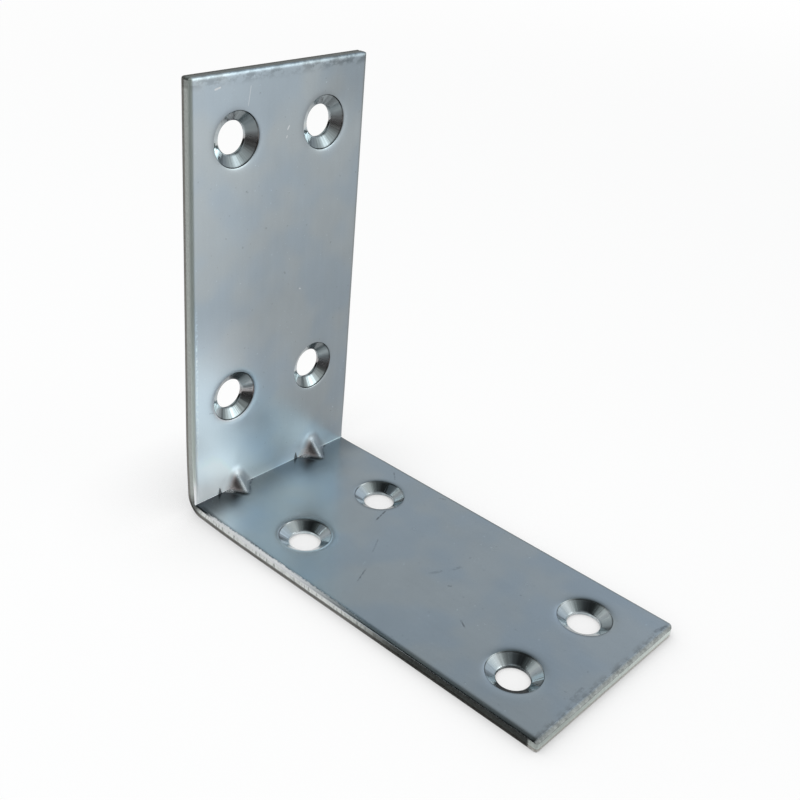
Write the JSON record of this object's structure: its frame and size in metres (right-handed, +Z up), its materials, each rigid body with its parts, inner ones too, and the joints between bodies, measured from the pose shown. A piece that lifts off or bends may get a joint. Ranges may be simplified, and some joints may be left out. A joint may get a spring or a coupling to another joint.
{
  "type": "corner brace bracket",
  "caption": "Right-angle corner brace folded from a steel strip, with countersunk screw holes in both legs and ribs pressed through the bend.",
  "frame": {"origin": "centre of the box's underside: on the outside face of the base, midway along it and midway across the strip", "axes": "+X along the base away from the bend, +Y across the strip, +Z up along the upright; the underside of the base is z = 0 and the back of the upright is x = -0.040 m"},
  "size_m": [0.08, 0.038, 0.079],
  "materials": {
    "zinc_plated_steel": "bright zinc plate, satin with a bluish tint, glossier in the countersinks"
  },
  "bodies": {
    "root": {"bracket": "zinc_plated_steel"}
  },
  "joints": []
}
